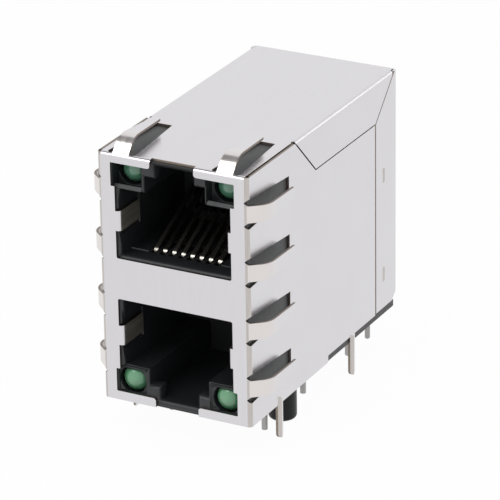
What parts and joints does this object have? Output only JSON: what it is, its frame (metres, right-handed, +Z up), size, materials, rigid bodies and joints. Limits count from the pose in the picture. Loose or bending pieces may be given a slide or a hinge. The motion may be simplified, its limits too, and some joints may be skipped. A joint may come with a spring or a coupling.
{
  "type": "rj45 board jack",
  "caption": "Shielded stacked modular jack for a circuit board, with status lights, inner transformers, board tabs and locating pegs.",
  "frame": {"origin": "on the board surface, midway between the axes of the two locating pegs", "axes": "+X to the right as seen from the front, +Y from the port openings to the rear, +Z up from the board"},
  "size_m": [0.0194, 0.0329, 0.0315],
  "materials": {
    "shield_metal": "nickel-plated copper alloy sheet, satin",
    "housing_plastic": "black moulded thermoplastic, matt",
    "base_plastic": "black moulded thermoplastic, matt",
    "insert_plastic": "black moulded thermoplastic, matt",
    "plate_metal": "plated sheet",
    "board_laminate": "green solder mask",
    "case_plastic": "black moulded thermoplastic, matt",
    "contact_gold": "gold-plated spring wire, bright",
    "upper_lens": "green tinted lens, clear",
    "lower_lens": "pale green tinted lens, clear",
    "tinned_wire": "tinned wire, bright",
    "ferrite": "sintered ferrite, matt",
    "copper_wire": "enamelled copper wire",
    "chip_black": "chip resistor",
    "chip_tan": "chip capacitor"
  },
  "bodies": {
    "root": {"front_shield": "shield_metal", "rear_shield": "shield_metal", "housing": "housing_plastic", "base_plate": "base_plastic", "upper_insert": "insert_plastic", "lower_insert": "insert_plastic", "centre_plate": "plate_metal", "upper_board": "board_laminate", "lower_board": "board_laminate", "upper_coil_case": "case_plastic", "lower_coil_case": "case_plastic", "upper_contact_1": "contact_gold", "upper_contact_2": "contact_gold", "upper_contact_3": "contact_gold", "upper_contact_4": "contact_gold", "upper_contact_5": "contact_gold", "upper_contact_6": "contact_gold", "upper_contact_7": "contact_gold", "upper_contact_8": "contact_gold", "lower_contact_1": "contact_gold", "lower_contact_2": "contact_gold", "lower_contact_3": "contact_gold", "lower_contact_4": "contact_gold", "lower_contact_5": "contact_gold", "lower_contact_6": "contact_gold", "lower_contact_7": "contact_gold", "lower_contact_8": "contact_gold", "upper_left_light": "upper_lens", "upper_right_light": "upper_lens", "lower_left_light": "lower_lens", "lower_right_light": "lower_lens", "upper_left_leads": "tinned_wire", "upper_right_leads": "tinned_wire", "lower_left_leads": "tinned_wire", "lower_right_leads": "tinned_wire", "core_1": "ferrite", "core_2": "ferrite", "core_3": "ferrite", "core_4": "ferrite", "core_5": "ferrite", "core_6": "ferrite", "core_7": "ferrite", "core_8": "ferrite", "winding_1": "copper_wire", "winding_2": "copper_wire", "winding_3": "copper_wire", "winding_4": "copper_wire", "winding_5": "copper_wire", "winding_6": "copper_wire", "winding_7": "copper_wire", "winding_8": "copper_wire", "pin_row_1": "tinned_wire", "pin_row_2": "tinned_wire", "pin_row_3": "tinned_wire", "upper_resistors": "chip_black", "lower_resistors": "chip_black", "upper_capacitor": "chip_tan", "lower_capacitor": "chip_tan"}
  },
  "joints": []
}
